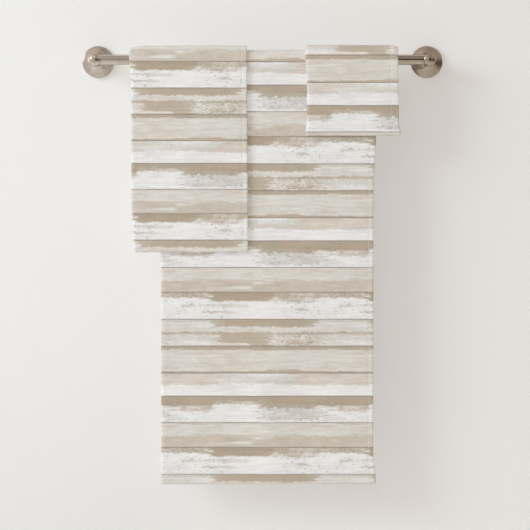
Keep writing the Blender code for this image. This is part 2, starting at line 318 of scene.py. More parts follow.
def make_stroke_group():
    """One brush stroke's cover, 0 to 1, in the tile's own units. Distances along the tile wrap."""
    group = bpy.data.node_groups.new("stroke", "ShaderNodeTree")
    for name in STROKE_INPUTS:
        group.interface.new_socket(name, in_out="INPUT", socket_type="NodeSocketFloat")
    group.interface.new_socket("Cover", in_out="OUTPUT", socket_type="NodeSocketFloat")
    graph = Graph(group)
    given = graph.node("NodeGroupInput").outputs

    def torn(noise, reach):
        """How far an edge wanders, from a noise of 0 to 1."""
        swing = graph.math("MULTIPLY", graph.math("SUBTRACT", noise, 0.5), reach)
        return graph.math("MULTIPLY", swing, given["Raggedness"])

    from_middle = graph.math("PINGPONG", graph.math("SUBTRACT", given["Along"], given["Middle"]), 0.5)
    inside = graph.math("SUBTRACT", given["Half"], from_middle)
    inside = graph.math("ADD", inside, torn(given["Bristle"], RAGGED_ALONG))
    across = graph.remap(inside, -STROKE_FEATHER_ALONG, STROKE_FEATHER_ALONG)

    from_middle = graph.math("ABSOLUTE", graph.math("SUBTRACT", given["Down"], given["Middle down"]))
    inside = graph.math("SUBTRACT", given["Half down"], from_middle)
    inside = graph.math("ADD", inside, torn(given["Ragged"], RAGGED_DOWN))
    down = graph.remap(inside, -STROKE_FEATHER_DOWN, STROKE_FEATHER_DOWN)

    kept = graph.math("SUBTRACT", 1.0, graph.math("MULTIPLY", given["Speckle"], given["Worn"]))
    cover = graph.math("MULTIPLY", graph.math("MULTIPLY", across, down), kept)
    cover = graph.math("MULTIPLY", cover, given["Strength"])
    graph.put(graph.node("NodeGroupOutput").inputs["Cover"], cover)
    return group


def round_the_tile(graph, along, down, per_turn, per_tile):
    """A vector that comes back to itself after one tile along."""
    angle = graph.math("MULTIPLY", along, 2 * HALF_TURN)
    radius = per_turn / (2 * HALF_TURN)
    vector = graph.node("ShaderNodeCombineXYZ")
    graph.put(vector.inputs[0], graph.math("MULTIPLY", graph.math("COSINE", angle), radius))
    graph.put(vector.inputs[1], graph.math("MULTIPLY", graph.math("SINE", angle), radius))
    graph.put(vector.inputs[2], graph.math("MULTIPLY", down, per_tile))
    return vector.outputs[0]


def make_print_group():
    """The repeating print of worn, brushed boards. Its input is the cloth's place in tiles."""
    group = bpy.data.node_groups.new("printed_boards", "ShaderNodeTree")
    group.interface.new_socket("Tile", in_out="INPUT", socket_type="NodeSocketVector")
    group.interface.new_socket("Color", in_out="OUTPUT", socket_type="NodeSocketColor")
    graph = Graph(group)
    place = graph.node("ShaderNodeSeparateXYZ")
    graph.put(place.inputs[0], graph.node("NodeGroupInput").outputs["Tile"])
    along = graph.math("FRACT", place.outputs[0])
    down = graph.math("FRACT", place.outputs[1])

    def noise(per_turn, per_tile, detail, roughness):
        """Noise with that many features round the tile and down it, and no seam between tiles."""
        return graph.noise(round_the_tile(graph, along, down, per_turn, per_tile), 1.0, detail, roughness)

    broad_edge = noise(10.0, 14.0, 5.0, 0.70)
    fine_edge = noise(46.0, 240.0, 3.0, 0.6)
    ragged = graph.math("MULTIPLY_ADD", fine_edge, 0.40, graph.math("MULTIPLY", broad_edge, 0.60))
    ragged = graph.remap(ragged, 0.34, 0.66, soft=False)
    bristle = noise(9.0, 120.0, 4.0, 0.65)
    bristle = graph.remap(bristle, 0.30, 0.70, soft=False)
    specks = noise(64.0, 150.0, 3.0, 0.7)
    patches = noise(9.0, 16.0, 1.0, 0.5)
    specks = graph.math("ADD", specks, graph.math("MULTIPLY", patches, 0.5))
    speckle = graph.remap(specks, 0.72, 0.82)
    marks = noise(38.0, 130.0, 3.0, 0.7)
    unmarked = graph.remap(marks, 0.58, 0.64, 1.0, 0.0)
    streaks = noise(5.0, 95.0, 4.0, 0.65)
    brushing = noise(12.0, 60.0, 3.0, 0.6)
    clouds = noise(4.0, 9.0, 3.0, 0.55)

    on_plank = {}
    for plank, height in PLANK_HEIGHTS.items():
        above = graph.math("LESS_THAN", down, PLANK_TOPS[plank] / TILE_HEIGHT)
        below = graph.math("GREATER_THAN", down, (PLANK_TOPS[plank] + height) / TILE_HEIGHT)
        on_plank[plank] = graph.math("SUBTRACT", 1.0, graph.math("ADD", above, below))

    stroke_group = make_stroke_group()
    color = INK["white"]
    for plank, (start, end), (top, bottom), ink, strength, raggedness, worn in STROKES:
        height = PLANK_HEIGHTS[plank]
        middle = (PLANK_TOPS[plank] + (top + bottom) / 2 * height) / TILE_HEIGHT
        stroke = graph.node("ShaderNodeGroup", node_tree=stroke_group)
        for name, value in (
            ("Along", along),
            ("Down", down),
            ("Bristle", bristle),
            ("Ragged", ragged),
            ("Speckle", unmarked if worn == SPARSE else speckle),
            ("Middle", (start + end) / 2),
            ("Half", (end - start) / 2),
            ("Middle down", middle),
            ("Half down", (bottom - top) / 2 * height / TILE_HEIGHT),
            ("Raggedness", raggedness),
            ("Worn", worn),
            ("Strength", strength),
        ):
            graph.put(stroke.inputs[name], value)
        cover = graph.math("MULTIPLY", stroke.outputs["Cover"], on_plank[plank])
        color = graph.mix(cover, color, INK[ink])

    channels = graph.node("ShaderNodeSeparateColor")
    graph.put(channels.inputs[0], color)
    green = channels.outputs[1]
    paler = graph.remap(green, INK["beige"][1], INK["pale"][1], 0.3, 1.0)
    paler = graph.math("MULTIPLY", paler, graph.remap(green, INK["taupe"][1], INK["beige"][1]))
    paler = graph.math("MULTIPLY", paler, graph.remap(green, INK["white"][1], INK["cool"][1]))
    browner = graph.remap(green, INK["beige"][1], INK["brown_light"][1])
    warm_clouds = noise(5.0, 19.0, 3.0, 0.55)
    warm_clouds = graph.math("MULTIPLY", graph.remap(warm_clouds, 0.42, 0.62), browner)
    color = graph.mix(warm_clouds, color, WARMTH, blend="MULTIPLY")
    for ink, per_turn, per_tile, cover in HAZES:
        cloud = noise(per_turn, per_tile, 4.0, 0.6)
        cloud = graph.math("MULTIPLY", graph.remap(cloud, 0.44, 0.62, 0.0, cover), paler)
        color = graph.mix(cloud, color, INK[ink])

    wander = graph.math("MULTIPLY_ADD", graph.math("SUBTRACT", ragged, 0.5), LINE_WANDER, down)
    line = None
    for plank in PLANK_TOPS:
        away = graph.math("PINGPONG", graph.math("SUBTRACT", wander, PLANK_TOPS[plank] / TILE_HEIGHT), 0.5)
        near = graph.remap(away, LINE_THICKNESS / TILE_HEIGHT, 0.25 * LINE_THICKNESS / TILE_HEIGHT)
        line = near if line is None else graph.math("MAXIMUM", line, near)
    line = graph.math("MULTIPLY", line, graph.remap(clouds, 0.3, 0.6, 0.70, 1.0))
    color = graph.mix(line, color, INK["line"])

    tone = graph.remap(streaks, 0.30, 0.70, 0.93, 1.06, soft=False)
    tone = graph.math("MULTIPLY", tone, graph.remap(clouds, 0.3, 0.7, 0.97, 1.03))
    tone = graph.math("MULTIPLY", tone, graph.remap(brushing, 0.3, 0.7, 0.95, 1.05, soft=False))
    grey = graph.node("ShaderNodeCombineXYZ")
    for socket in grey.inputs:
        graph.put(socket, tone)
    color = graph.mix(1.0, color, grey.outputs[0], blend="MULTIPLY")
    graph.put(graph.node("NodeGroupOutput").inputs["Color"], color)
    return group


# ---------------------------------------------------------------- materials

NAP_PER_METRE = 800.0
LOOPS_PER_METRE = 560.0


def cloth_place(graph, name):
    return graph.node("ShaderNodeAttribute", attribute_name=name).outputs["Vector"]


def nap_height(graph, place):
    """The height of the cloth's loops, as the bump sees it."""
    fine = graph.noise(place, NAP_PER_METRE, 3.0, 0.6)
    loops = graph.node("ShaderNodeTexVoronoi", feature="F1")
    graph.put(loops.inputs["Vector"], place)
    graph.put(loops.inputs["Scale"], LOOPS_PER_METRE)
    domes = graph.remap(loops.outputs["Distance"], 0.0, 0.9, 1.0, 0.0)
    return graph.math("ADD", graph.math("MULTIPLY", domes, 0.6), graph.math("MULTIPLY", fine, 0.6))


def make_printed_terry(print_group):
    material, graph = new_material("printed_terry")
    boards = graph.node("ShaderNodeGroup", node_tree=print_group)
    graph.put(boards.inputs["Tile"], cloth_place(graph, "tile_place"))
    place = cloth_place(graph, "cloth_place")
    height = nap_height(graph, place)
    speck = graph.noise(place, 420.0, 3.0, 0.7)
    fleck = graph.remap(speck, 0.3, 0.7, 0.0, 1.0, soft=False)
    color = graph.mix(graph.math("MULTIPLY", fleck, 0.07), boards.outputs["Color"], INK["taupe"])
    graph.surface(
        Base_Color=color,
        Roughness=0.95,
        Sheen_Weight=0.12,
        Sheen_Roughness=0.5,
        Specular_IOR_Level=0.15,
        Normal=graph.bump(height, 0.0012, 0.9),
    )
    return material


def make_white_terry():
    """The unprinted side of the cloth, and the cut edges' inside."""
    material, graph = new_material("white_terry")
    place = cloth_place(graph, "cloth_place")
    height = nap_height(graph, place)
    shade = graph.remap(graph.noise(place, 60.0, 3.0, 0.6), 0.3, 0.7)
    color = graph.mix(shade, linear(222, 218, 211), linear(232, 229, 224))
    graph.surface(
        Base_Color=color,
        Roughness=0.95,
        Sheen_Weight=0.15,
        Sheen_Roughness=0.5,
        Specular_IOR_Level=0.15,
        Normal=graph.bump(height, 0.0016, 1.0),
    )
    return material


def make_thread():
    material, graph = new_material("stitch_thread")
    place = graph.node("ShaderNodeTexCoord").outputs["Object"]
    twist = graph.noise(place, 900.0)
    color = graph.mix(twist, linear(214, 208, 199), linear(233, 230, 224))
    graph.surface(
        Base_Color=color,
        Roughness=0.7,
        Specular_IOR_Level=0.3,
        Normal=graph.bump(twist, 0.0002, 0.5),
    )
    return material


def make_label_cloth():
    material, graph = new_material("label_satin")
    place = graph.node("ShaderNodeTexCoord").outputs["Object"]
    ribs = graph.node("ShaderNodeTexWave", wave_type="BANDS", bands_direction="Z")
    graph.put(ribs.inputs["Vector"], place)
    graph.put(ribs.inputs["Scale"], 420.0)
    graph.put(ribs.inputs["Distortion"], 0.6)
    soil = graph.noise(place, 90.0, 3.0, 0.6)
    color = graph.mix(soil, linear(232, 230, 225), linear(243, 242, 239))
    graph.surface(
        Base_Color=color,
        Roughness=graph.remap(soil, 0.3, 0.7, 0.38, 0.52),
        Sheen_Weight=0.1,
        Normal=graph.bump(ribs.outputs["Fac"], 0.0002, 0.5),
    )
    return material


# Painted shade: the metal's colour is multiplied by this towards the rail's right end, standing in for its
# darker reflections there.
RIGHT_PAINTED_SHADE = (0.74, 0.68, 0.62, 1.0)


def make_metal(name, dark, light, roughness, grain, grain_depth, across=None, edge=None):
    """Metal with fine lines brushed along one way, faint handling marks and uneven gloss.

    With across, painted shade darkens and warms the colour along the rail towards its right end, and the
    roughness changes: across is (the rail's left end, the roughness added there, the roughness added at
    the right end). With edge, that is its tint at a glancing angle.
    """
    material, graph = new_material(name)
    place = graph.node("ShaderNodeTexCoord").outputs["Object"]
    lines = graph.noise(graph.stretch(place, grain), 1.0, 3.0, 0.6)
    marks = graph.noise(place, 70.0, 4.0, 0.6)
    color = graph.mix(graph.remap(marks, 0.3, 0.7), dark, light)
    rough = graph.math("ADD", graph.remap(lines, 0.3, 0.7, -0.04, 0.04), roughness)
    rough = graph.math("ADD", rough, graph.remap(marks, 0.35, 0.75, -0.02, 0.03))
    if across:
        left_end, left_change, right_change = across
        parts = graph.node("ShaderNodeSeparateXYZ")
        graph.put(parts.inputs[0], place)
        rightness = graph.remap(parts.outputs[0], left_end, -left_end, soft=False)
        # Painted shade: darker, warmer colour towards the rail's right end.
        color = graph.mix(rightness, color, RIGHT_PAINTED_SHADE, blend="MULTIPLY")
        rough = graph.math("ADD", rough, graph.remap(rightness, 0.0, 1.0, left_change, right_change))
    graph.surface(
        Base_Color=color,
        Metallic=1.0,
        Specular_Tint=edge or (1.0, 1.0, 1.0, 1.0),
        Roughness=rough,
        Normal=graph.bump(lines, grain_depth, 0.35),
    )
    return material


def make_plastic():
    material, graph = new_material("anchor_plastic")
    place = graph.node("ShaderNodeTexCoord").outputs["Object"]
    cloud = graph.noise(place, 120.0, 3.0, 0.6)
    pits = graph.noise(place, 2200.0, 2.0, 0.5)
    graph.surface(
        Base_Color=graph.mix(cloud, linear(196, 198, 200), linear(214, 215, 216)),
        Roughness=graph.remap(pits, 0.3, 0.7, 0.42, 0.55),
        Subsurface_Weight=0.05,
        Normal=graph.bump(pits, 0.00005, 0.4),
    )
    return material


# ---------------------------------------------------------------- the towels

CELL = {"bath_towel": 0.0062, "hand_towel": 0.0050, "washcloth": 0.0046}
FLAT = {"bath_towel": (0.762, 1.524), "hand_towel": (0.406, 0.711), "washcloth": (0.330, 0.330)}
PRINT_SCALE = {"bath_towel": 1.0, "hand_towel": 0.974, "washcloth": 0.990}
# Height of one top edge of plank A, and the place of the tile's left edge, on each front.
PRINT_ORIGIN = {
    "bath_towel": (-0.1779, -0.3210),
    "hand_towel": (-0.3095, -0.1840),
    "washcloth": (0.0330, -0.0820),
}
LAYER_CLEARANCE = 0.00025
BEND_STEPS = 18
FOLD_STEPS = 8
CREASE_HALF_WIDTH = 0.0016
CREASE_DEPTH = 0.26
CREASE_ROWS = (-1.4, -0.7, 0.0, 0.7, 1.4)
EDGE_ROWS = (0.02, 0.22, 0.60, 1.10)
SHARED_WAVE = 0.0005
BATH_FRONT_FOLDS = 0.0016
BATH_BACK_FOLDS = 0.0022
UPPER_FOLDS = 0.0010
UPPER_BACK_GAP = 0.0012

# How far an end of an upper towel sinks where the bath towel isn't under it, and the x from which it does.
HAND_SINK, HAND_SINK_FROM = 0.0034, -0.206
WASH_SINK, WASH_SINK_FROM = 0.0024, 0.232

STITCH_LENGTH = 0.0026
STITCH_PITCH = 0.0034
STITCH_RADIUS = 0.00042
STITCH_MARGIN = 0.0030
STITCH_STEPS = ((-0.5, 0.15), (-0.28, 0.95), (0.28, 0.95), (0.5, 0.15))  # along it, and its fullness there
STITCH_SIDES = 4
LABEL_CELLS = (15, 22)
LABEL_GAP = 0.0001
LABEL_THICKNESS = 0.0006
LABEL_RIM = 0.0012
LABEL_CURL = 0.0012
LABEL_SEAM_INSET = 0.0025
WHITE_SIDE_SHIFT = np.array([0.0, 0.0, 0.5])


def edge_rows(thickness):
    """Distances from a cut edge at which rows make its rim round."""
    return [share * thickness for share in EDGE_ROWS]


def crease_rows(hem):
    return [hem + CREASE_HALF_WIDTH * share for share in CREASE_ROWS]


def filled(rows, limit, cell):
    """The rows with even ones added up to the limit, no further apart than the cell."""
    rows = sorted(rows)
    result = [rows[0]]
    for row in rows[1:] + [limit]:
        count = max(1, math.ceil((row - result[-1]) / cell))
        start = result[-1]
        result += [start + (row - start) * (i + 1) / count for i in range(count)]
    return result


def rim(distance, half):
    """Half thickness, as a share, at that distance from a cut edge: a quarter circle."""
    share = np.clip(distance / half, 0.0, 1.0)
    return np.sqrt(np.clip(1.0 - (1.0 - share) ** 2, 0.02, 1.0))


def dip(distance, hem):
    """The crease that the stitching pulls into the cloth along a hem."""
    return CREASE_DEPTH * np.exp(-(((distance - hem) / CREASE_HALF_WIDTH) ** 2))


def shared_wave(down):
    """A slow wave down the cloth, the same all across, so that towels slide over each other."""
    return SHARED_WAVE * smooth(down, 0.02, 0.12) * (1.0 + np.sin(down * 19.0 + 0.6))


def bath_drape(x, down, back):
    """How far the bath towel stands off its vertical plane. It is even across under the others."""
    folds = 0.55 * np.sin(x * 33.0 + 0.4 + down * 1.4) + 0.45 * np.sin(x * 57.0 + 2.1 - down * 2.3)
    if back:
        lower = BATH_BACK_FOLDS * smooth(down, 0.24, 0.50) * (folds + 0.8)
    else:
        lower = BATH_FRONT_FOLDS * smooth(down, 0.37, 0.52) * (folds + 0.6)
    return shared_wave(down) + lower


def upper_drape(x, down, back):
    """The upper towels follow the bath towel's wave and stand a little further off it."""
    folds = 0.5 + 0.5 * np.sin(x * 41.0 + down * 3.0)
    grown = smooth(down, 0.04, 0.20)
    stand_off = UPPER_BACK_GAP * grown if back else 0.0
    return shared_wave(down) + UPPER_FOLDS * grown * folds + stand_off


# How a towel's side edges leave the vertical: which edge, its shift to the right, and the drops below
# the bar between which the shift comes in. With negative drops it is there from the top.
EDGE_SHIFTS = {
    "bath_towel": (("right", -0.0044, 0.13, 0.24), ("right", 0.0044, 0.695, 0.745)),
    "hand_towel": (
        ("left", -0.0036, -0.02, -0.01),
        ("left", 0.0036, 0.00, 0.034),
        ("left", 0.0042, 0.24, 0.335),
        ("right", 0.0020, 0.00, 0.30),
    ),
    "washcloth": (
        ("left", -0.0026, -0.02, -0.01),
        ("left", 0.0026, 0.00, 0.034),
        ("left", -0.0024, 0.110, 0.128),
        ("right", -0.0021, -0.02, -0.01),
        ("right", 0.0008, 0.02, 0.09),
        ("right", 0.0034, 0.112, 0.130),
    ),
}


def edge_shift(name, share, down):
    """The shift to the right of a place that is that share of the way across the towel."""
    total = 0.0
    for edge, shift, start, end in EDGE_SHIFTS[name]:
        nearness = share if edge == "right" else 1.0 - share
        total = total + shift * smooth(down, start, end) * nearness**2
    return total


class Towel:
    """One towel as a single folded sheet: printed outside, white inside, draped over the bar.

    A point of the cloth is given by how far it is across from the outer layer's cut edge and how
    far along from the front's lower edge, both measured on the flat cloth.
    """

    def __init__(self, name):
        size = measure_towel(name)
        self.name = name
        self.size = size
        self.layer = (size["outer"] - size["inner"]) / 2
        self.half = self.layer / 2 - LAYER_CLEARANCE
        self.neutral = (size["inner"] + size["outer"]) / 2
        self.fold_centre = size["left"] + self.layer
        self.straight = size["right"] - self.fold_centre
        self.fold_arc = HALF_TURN * self.layer / 2
        self.width = 2 * self.straight + self.fold_arc
        self.bend_arc = HALF_TURN * self.neutral
        self.length = size["front_drop"] + self.bend_arc + size["back_drop"]

    def place(self, a, v, side, lift=0.0):
        """Points on the printed side (+1) or the white side (-1), raised off it by lift."""
        size = self.size
        edge_a = np.minimum(a, self.width - a)
        edge_v = np.minimum(v, self.length - v)
        turn = np.clip((a - self.straight) / self.fold_arc, 0.0, 1.0) * HALF_TURN
        on_a_layer = (a <= self.straight) | (a >= self.straight + self.fold_arc)
        x = np.where(on_a_layer, size["right"] - edge_a, self.fold_centre - self.layer / 2 * np.sin(turn))
        rise = self.layer / 2 * np.cos(turn)

        theta = np.clip((v - size["front_drop"]) / self.bend_arc, 0.0, 1.0) * HALF_TURN
        out_y, out_z = -np.cos(theta), np.sin(theta)
        front_fall = np.clip(size["front_drop"] - v, 0.0, None)
        back_fall = np.clip(v - size["front_drop"] - self.bend_arc, 0.0, None)
        down = front_fall + back_fall
        behind = v > size["front_drop"] + self.bend_arc / 2

        drape = bath_drape if self.name == "bath_towel" else upper_drape
        stand = np.where(behind, drape(x, down, True), drape(x, down, False))
        thickness = self.half * rim(edge_a, self.half) * rim(edge_v, self.half)
        thickness = thickness * (1.0 - dip(edge_a, size["side_hem"]) - dip(edge_v, size["end_hem"]))
        thickness = side * (thickness + lift)

        share = (x - size["left"]) / (size["right"] - size["left"])
        x_shift = edge_shift(self.name, share, down)
        sink = end_sink(self.name, x) * np.sin(theta)
        height = self.neutral + stand + rise + thickness * np.cos(turn) - sink
        return np.stack(
            [
                x + x_shift - thickness * np.sin(turn),
                BAR_Y + height * out_y,
                BAR_Z + height * out_z - down,
            ],
            axis=-1,
        )

    def build_cloth(self, materials):
        """The sheet's mesh, with the cloth's own coordinates stored on its points."""
        size, half, cell = self.size, self.half, CELL[self.name]
        rows = [0.0] + edge_rows(half) + crease_rows(size["side_hem"])
        layer = filled(rows, self.straight, cell)
        fold = [self.straight + self.fold_arc * (i + 1) / FOLD_STEPS for i in range(FOLD_STEPS - 1)]
        across = np.array(layer + fold + [self.width - a for a in reversed(layer)])

        rows = [0.0] + edge_rows(half) + crease_rows(size["end_hem"])
        front = filled(rows, size["front_drop"], cell)
        bend = [size["front_drop"] + self.bend_arc * (i + 1) / BEND_STEPS for i in range(BEND_STEPS - 1)]
        back = [self.length - v for v in reversed(filled(rows, size["back_drop"], cell))]
        a, v = np.meshgrid(across, np.array(front + bend + back), indexing="ij")

        printed, white = self.place(a, v, +1.0), self.place(a, v, -1.0)
        vertices = np.concatenate([printed.reshape(-1, 3), white.reshape(-1, 3)])
        faces, slots = sheet_faces(*a.shape)
        cloth = new_mesh(self.name + "_cloth", vertices, faces, materials)
        cloth.data.polygons.foreach_set("material_index", slots)

        flat_x, flat_z = size["right"] - a, v - size["front_drop"]
        origin_x, origin_z = PRINT_ORIGIN[self.name]
        scale = PRINT_SCALE[self.name]
        nothing = np.zeros_like(a)
        tile_x = (flat_x - origin_x) / (TILE_WIDTH * scale)
        tile_z = (origin_z - flat_z) / (TILE_HEIGHT * scale)
        tile = np.stack([tile_x, tile_z, nothing], axis=-1).reshape(-1, 3)
        flat = np.stack([flat_x, flat_z, nothing], axis=-1).reshape(-1, 3)
        store(cloth, "tile_place", np.concatenate([tile, tile]))
        store(cloth, "cloth_place", np.concatenate([flat, flat + WHITE_SIDE_SHIFT]))
        return cloth

    def on_back(self, x, down):
        """The flat cloth's coordinates of a place on the back, behind the bar."""
        return self.size["right"] - x, self.size["front_drop"] + self.bend_arc + down

    def build_stitching(self, material, label_rows):
        """Thread along every hem, in separate stitches that lie in the crease."""
        size = self.size
        rows = []
        for a in (size["side_hem"], self.width - size["side_hem"]):
            rows.append(((a, STITCH_MARGIN), (a, self.length - STITCH_MARGIN), 0.0))
        for v in (size["end_hem"], self.length - size["end_hem"]):
            rows.append(((STITCH_MARGIN, v), (self.width - STITCH_MARGIN, v), 0.0))
        vertices, faces = [], []
        for start, end, lift in rows + label_rows:
            add_stitches(self, np.array(start), np.array(end), lift, vertices, faces)
        return new_mesh(self.name + "_stitching", vertices, faces, [material])

    def build_label(self, material):
        """A plain woven care label, sewn on by its top edge, its lower end standing off a little."""
        low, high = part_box(self.name + "_care_label")
        xs = np.linspace(low.x, high.x, LABEL_CELLS[0])
        downs = np.linspace(BAR_Z - high.z, BAR_Z - low.z, LABEL_CELLS[1])
        x, down = np.meshgrid(xs, downs, indexing="ij")
        a, v = self.on_back(x, down)
        share = (down - downs[0]) / (downs[-1] - downs[0])
        edge = np.minimum(np.minimum(x - xs[0], xs[-1] - x), np.minimum(down - downs[0], downs[-1] - down))
        curl = LABEL_CURL * share**2 * (1.0 + 0.3 * np.sin((x - xs[0]) * 150.0))
        hem = LABEL_THICKNESS * (0.75 + 0.25 * np.where(edge < LABEL_RIM, 1.0, 0.0))
        top = self.place(a, v, +1.0, LABEL_GAP + curl + hem)
        bottom = self.place(a, v, +1.0, LABEL_GAP + curl)
        faces, _ = sheet_faces(*x.shape)
        vertices = np.concatenate([top.reshape(-1, 3), bottom.reshape(-1, 3)])
        label = new_mesh(self.name + "_label", vertices, [face[::-1] for face in faces], [material])
        inset = LABEL_SEAM_INSET
        ends = [self.on_back(x, downs[0] + inset) for x in (high.x - inset, low.x + inset)]
        return label, [(ends[0], ends[1], LABEL_GAP + LABEL_THICKNESS)]


def add_stitches(towel, start, end, lift, vertices, faces):
    """Adds one row of stitches, each a small pointed thread, to the lists."""
    span = np.linalg.norm(end - start)
    along = (end - start) / span
    aside = np.array([along[1], -along[0]])
    count = int(span / STITCH_PITCH)
    turns = 2 * HALF_TURN * np.arange(STITCH_SIDES) / STITCH_SIDES
    ring = [(math.cos(turn), math.sin(turn)) for turn in turns]
    for i in range(count):
        middle = start + along * (i + 0.5) * span / count
        first = len(vertices)
        for step, fullness in STITCH_STEPS:
            for across, up in ring:
                spot = middle + along * step * STITCH_LENGTH + aside * across * STITCH_RADIUS * fullness
                raised = lift + STITCH_RADIUS * (0.25 + 0.9 * up * fullness)
                vertices.append(towel.place(spot[0], spot[1], 1.0, raised))
        for k in range(len(STITCH_STEPS) - 1):
            base = first + STITCH_SIDES * k
            for j in range(STITCH_SIDES):
                one = base + j
                two = base + (j + 1) % STITCH_SIDES
                faces.append((one, two, two + STITCH_SIDES, one + STITCH_SIDES))
        last = len(vertices) - STITCH_SIDES
        faces.append(tuple(first + j for j in reversed(range(STITCH_SIDES))))
        faces.append(tuple(last + j for j in range(STITCH_SIDES)))


def end_sink(name, x):
    """How far an upper towel sinks on the bar where the bath towel isn't under it."""
    if name == "hand_towel":
        return HAND_SINK * smooth(HAND_SINK_FROM - x, 0.0, 0.024)
    if name == "washcloth":
        return WASH_SINK * smooth(x - WASH_SINK_FROM, 0.0, 0.010)
    return np.zeros_like(x)


def store(obj, name, values):
    attribute = obj.data.attributes.new(name, "FLOAT_VECTOR", "POINT")
    attribute.data.foreach_set("vector", np.asarray(values, np.float32).ravel())


def sheet_faces(rows, columns):
    """The faces of both sides of a grid and of the rim that joins them, with their material."""
    shift = rows * columns
    index = np.arange(shift).reshape(rows, columns)
    a, b = index[:-1, :-1].ravel(), index[1:, :-1].ravel()
    c, d = index[1:, 1:].ravel(), index[:-1, 1:].ravel()
    outer = np.stack([d, c, b, a], axis=-1).tolist()
    inner = (np.stack([a, b, c, d], axis=-1) + shift).tolist()
    faces = outer + inner
    slots = [0] * len(outer) + [1] * len(inner)
    loop = list(index[:, 0]) + list(index[-1, 1:]) + list(index[-2::-1, -1]) + list(index[0, -2:0:-1])
    for here, there in zip(loop, loop[1:] + loop[:1]):
        faces.append([int(here), int(there), int(there) + shift, int(here) + shift])
        slots.append(0)
    return faces, slots


# ---------------------------------------------------------------- stage, light and camera

KEY_POWER = 27.4
KEY_COLOR = (0.762, 0.909, 1.0)
FILL_POWER = 1.161
FILL_COLOR = (1.0, 0.978, 0.935)
WORLD_POWER = 0.527
WORLD_COLOR = (1.0, 0.890, 0.809, 1.0)
WALL_PAINT = linear(236, 236, 236)
FLOOR_PAINT = linear(230, 227, 222)
WALL_GAP = 0.0004
WALL_SIZE = 6.0
# Painted shade on the wall: the paint is darker low on the left, standing in for light falling off. It
# comes in between these heights and between these places along the wall, and has this share of the paint's
# colour.
PAINTED_SHADE_FROM, PAINTED_SHADE_BELOW = -0.40, -0.95
PAINTED_SHADE_RIGHT, PAINTED_SHADE_LEFT = 0.00, -0.20
PAINTED_SHADE_SHARE = 0.93
FLOOR_DROP = 0.60


def make_paint(name, color, see_through_back):
    """Matt paint with a faint roller texture, and painted shade that makes it darker low on the left."""
    material, graph = new_material(name)
    place = graph.node("ShaderNodeTexCoord").outputs["Object"]
    parts = graph.node("ShaderNodeSeparateXYZ")
    graph.put(parts.inputs[0], place)
    roller = graph.noise(place, 260.0, 3.0, 0.6)
    # Painted shade: the paint is darkened low on the left, where the light falls off; the floor lies
    # wholly low, so its left part is darkened.
    low = graph.remap(parts.outputs[2], PAINTED_SHADE_FROM, PAINTED_SHADE_BELOW)
    painted_shade = graph.math("MULTIPLY", low, graph.remap(parts.outputs[0], PAINTED_SHADE_RIGHT, PAINTED_SHADE_LEFT))
    patchy = graph.remap(graph.noise(place, 3.0, 2.0, 0.5), 0.3, 0.7, 0.8, 1.0)
    shaded_paint = tuple(PAINTED_SHADE_SHARE * channel for channel in color[:3]) + (1.0,)
    shader = graph.surface(
        Base_Color=graph.mix(graph.math("MULTIPLY", painted_shade, patchy), color, shaded_paint),
        Roughness=0.85,
        Specular_IOR_Level=0.2,
        Normal=graph.bump(roller, 0.0004, 0.25),
    )
    if see_through_back:
        clear = graph.node("ShaderNodeBsdfTransparent")
        choose = graph.node("ShaderNodeMixShader")
        graph.put(choose.inputs[0], graph.node("ShaderNodeNewGeometry").outputs["Backfacing"])
        graph.put(choose.inputs[1], shader.outputs[0])
        graph.put(choose.inputs[2], clear.outputs[0])
        output = next(n for n in graph.tree.nodes if n.type == "OUTPUT_MATERIAL")
        graph.put(output.inputs["Surface"], choose.outputs[0])
    return material


def make_stage():
    s = WALL_SIZE / 2
    wall = new_mesh(
        "stage_wall",
        [(-s, WALL_GAP, -s), (s, WALL_GAP, -s), (s, WALL_GAP, s), (-s, WALL_GAP, s)],
        [(0, 1, 2, 3)],
        [make_paint("wall_paint", WALL_PAINT, True)],
        False,
    )
    level = CAD_BOX[0].z - FLOOR_DROP
    floor = new_mesh(
        "stage_floor",
        [(-s, -2 * s, level), (s, -2 * s, level), (s, s, level), (-s, s, level)],
        [(0, 1, 2, 3)],
        [make_paint("floor_paint", FLOOR_PAINT, False)],
        False,
    )


LIGHT_AIM = Vector((0.0, -0.05, -0.35))
LIGHT_DISTANCE = 3.0
KEY_WAY = Vector((-1.35, -1.0, 0.69)).normalized()
FILL_WAY = Vector((-0.15, -1.0, 0.35)).normalized()


def place_light(data, towards, color, power, casts_shadow):
    """Puts a light that way from the towels, facing them, and hides it from reflections."""
    data.energy = power
    data.color = color
    data.use_shadow = casts_shadow
    light = bpy.data.objects.new(data.name, data)
    bpy.context.scene.collection.objects.link(light)
    light.location = LIGHT_AIM + LIGHT_DISTANCE * towards
    light.rotation_mode = "QUATERNION"
    light.rotation_quaternion = towards.to_track_quat("Z", "Y")
    light.visible_glossy = False


def make_lights():
    """A soft window light from the upper left, and an even fill from the front."""
    key = bpy.data.lights.new("key", "AREA")
    key.shape = "DISK"
    key.size = 1.5
    place_light(key, KEY_WAY, KEY_COLOR, KEY_POWER, True)
    fill = bpy.data.lights.new("fill", "SUN")
    fill.angle = math.radians(30.0)
    place_light(fill, FILL_WAY, FILL_COLOR, FILL_POWER, False)


WINDOW_WAY = Vector((-1.00, -0.50, 0.34)).normalized()
WINDOW_GLOW = 2.6
WINDOW_COLOR = (1.0, 1.0, 1.0, 1.0)
BACKDROP_COLOR = linear(226, 224, 220)


